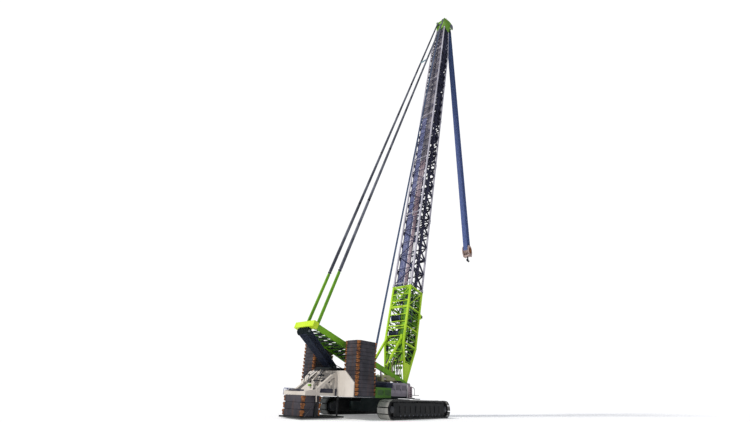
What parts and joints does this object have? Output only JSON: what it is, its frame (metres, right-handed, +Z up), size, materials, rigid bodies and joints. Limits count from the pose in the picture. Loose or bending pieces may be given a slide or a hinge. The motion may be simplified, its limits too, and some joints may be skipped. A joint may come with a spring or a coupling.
{
  "type": "crawler crane, 1:10 scale model",
  "caption": "Lattice boom crawler crane, 1:10 scale: slewing platform with slab counterweights, luffing boom with short rear mast and pendants, hook on long falls.",
  "frame": {"origin": "on the ground, in the middle of the overall length and width; the slewing axis is 0.549 m behind it", "axes": "+X the way the boom points at rest, +Y to the crane's left, +Z up"},
  "size_m": [3.718, 0.972, 8.9071],
  "materials": {
    "green": "yellow-green paint, weathered",
    "dark_green": "dark green paint",
    "silver": "silver-grey paint on lattice tubes",
    "beige": "light beige paint",
    "lilac": "grey-lilac paint",
    "slab": "dark grey cast slabs with rusty lugs",
    "black": "black paint, dusty",
    "shoe": "worn bare steel",
    "steel": "grooved steel, greased",
    "rope": "steel wire rope",
    "seat": "black cloth and plastic"
  },
  "bodies": {
    "undercarriage": {"track_left": "shoe", "track_right": "shoe", "track_frame_left": "black", "track_frame_right": "black", "idler_left": "black", "idler_right": "black", "sprocket_left": "black", "sprocket_right": "black", "final_drive_left": "black", "final_drive_right": "black", "carbody": "black", "slewing_ring": "steel"},
    "superstructure": {"slew_platform": "lilac", "engine_house": "lilac", "engine_block": "steel", "pump_house": "lilac", "side_box_left": "dark_green", "side_box_right": "dark_green", "radiator_box": "black", "hoist_winch": "steel", "luffing_winch": "steel", "cab_shell": "beige", "operator_seat": "seat", "rear_frame": "beige", "counterweight_carrier_left": "beige", "counterweight_carrier_right": "beige", "counterweight_stack_left": "slab", "counterweight_stack_right": "slab", "low_ballast_tray": "slab", "low_ballast_slabs": "slab", "luffing_sheaves": "black"},
    "boom": {"boom_butt": "green", "boom_winch_lower": "steel", "boom_winch_upper": "steel", "boom_stop_left": "green", "boom_stop_right": "green", "boom_section_1": "silver", "boom_section_2": "silver", "boom_section_3": "silver", "boom_section_4": "silver", "boom_section_5": "silver", "boom_taper": "silver", "boom_head": "green", "head_sheaves": "black"},
    "mast": {"mast_frame": "green", "mast_crossbeam": "green", "mast_sheaves": "black"},
    "pendants": {"pendant_left": "silver", "pendant_right": "silver", "pendant_spreader": "silver"},
    "falls": {"hoist_falls": "rope"},
    "hook_block": {"hook_block": "dark_green"},
    "hook": {"hook": "black"},
    "cab_door": {"cab_door": "beige"}
  },
  "joints": [
    {"name": "slew", "type": "hinge", "parent": "undercarriage", "child": "superstructure", "pos_m": [-0.549, 0, 0.187], "axis": [0, 0, 1], "continuous": true},
    {"name": "boom_luff", "type": "hinge", "parent": "superstructure", "child": "boom", "pos_m": [-0.377, 0, 0.321], "axis": [0, 1, 0], "range_deg": [-6.85, 31]},
    {"name": "mast_luff", "type": "hinge", "parent": "superstructure", "child": "mast", "pos_m": [-0.399, 0, 0.31], "axis": [0, 1, 0], "range_deg": [-6.95, 31.5]},
    {"name": "pendant_swing", "type": "hinge", "parent": "mast", "child": "pendants", "pos_m": [-1.732, 0, 0.76], "axis": [0, 1, 0], "range_deg": [-0.5, 0.2]},
    {"name": "falls_swing", "type": "hinge", "parent": "boom", "child": "falls", "pos_m": [1.78699, 0, 8.75085], "axis": [0, 1, 0], "range_deg": [-31, 6.85]},
    {"name": "hook_hoist", "type": "slide", "parent": "falls", "child": "hook_block", "axis": [0, 0, 1], "range_m": [-2.1, 5.5]},
    {"name": "hook_swivel", "type": "hinge", "parent": "hook_block", "child": "hook", "pos_m": [1.78699, 0, 2.55], "axis": [0, 0, 1], "continuous": true},
    {"name": "cab_door_hinge", "type": "hinge", "parent": "superstructure", "child": "cab_door", "pos_m": [-0.474, 0.3355, 0.3], "axis": [0, 0, 1], "range_deg": [0, 95]}
  ],
  "couplings": [
    {"joint": "mast_luff", "follows": "boom_luff", "ratio": 1.0088},
    {"joint": "pendant_swing", "follows": "boom_luff", "ratio": -0.011169},
    {"joint": "falls_swing", "follows": "boom_luff", "ratio": -1}
  ]
}
